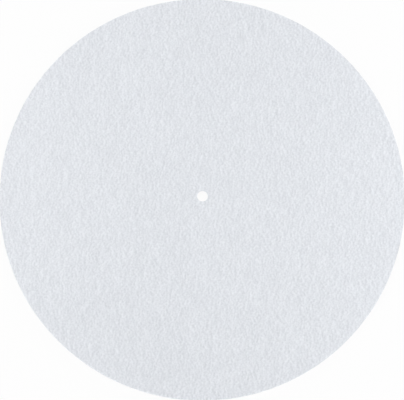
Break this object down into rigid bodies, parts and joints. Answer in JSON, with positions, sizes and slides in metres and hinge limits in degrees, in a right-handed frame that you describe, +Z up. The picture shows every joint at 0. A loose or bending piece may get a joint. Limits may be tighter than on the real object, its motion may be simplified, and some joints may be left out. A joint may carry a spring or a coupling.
{
  "type": "turntable platter mat",
  "caption": "Plain round platter mat of thin white pressed felt, with a small centred hole for the record player's spindle.",
  "frame": {"origin": "centre of the spindle hole, on the underside that lies on the platter", "axes": "+Z up along the spindle, from the underside to the face that the record lies on; +Y along the felt's grain"},
  "size_m": [0.295, 0.295, 0.003],
  "materials": {
    "felt": "matte pressed felt, cool white"
  },
  "bodies": {
    "root": {"felt_mat": "felt"}
  },
  "joints": []
}
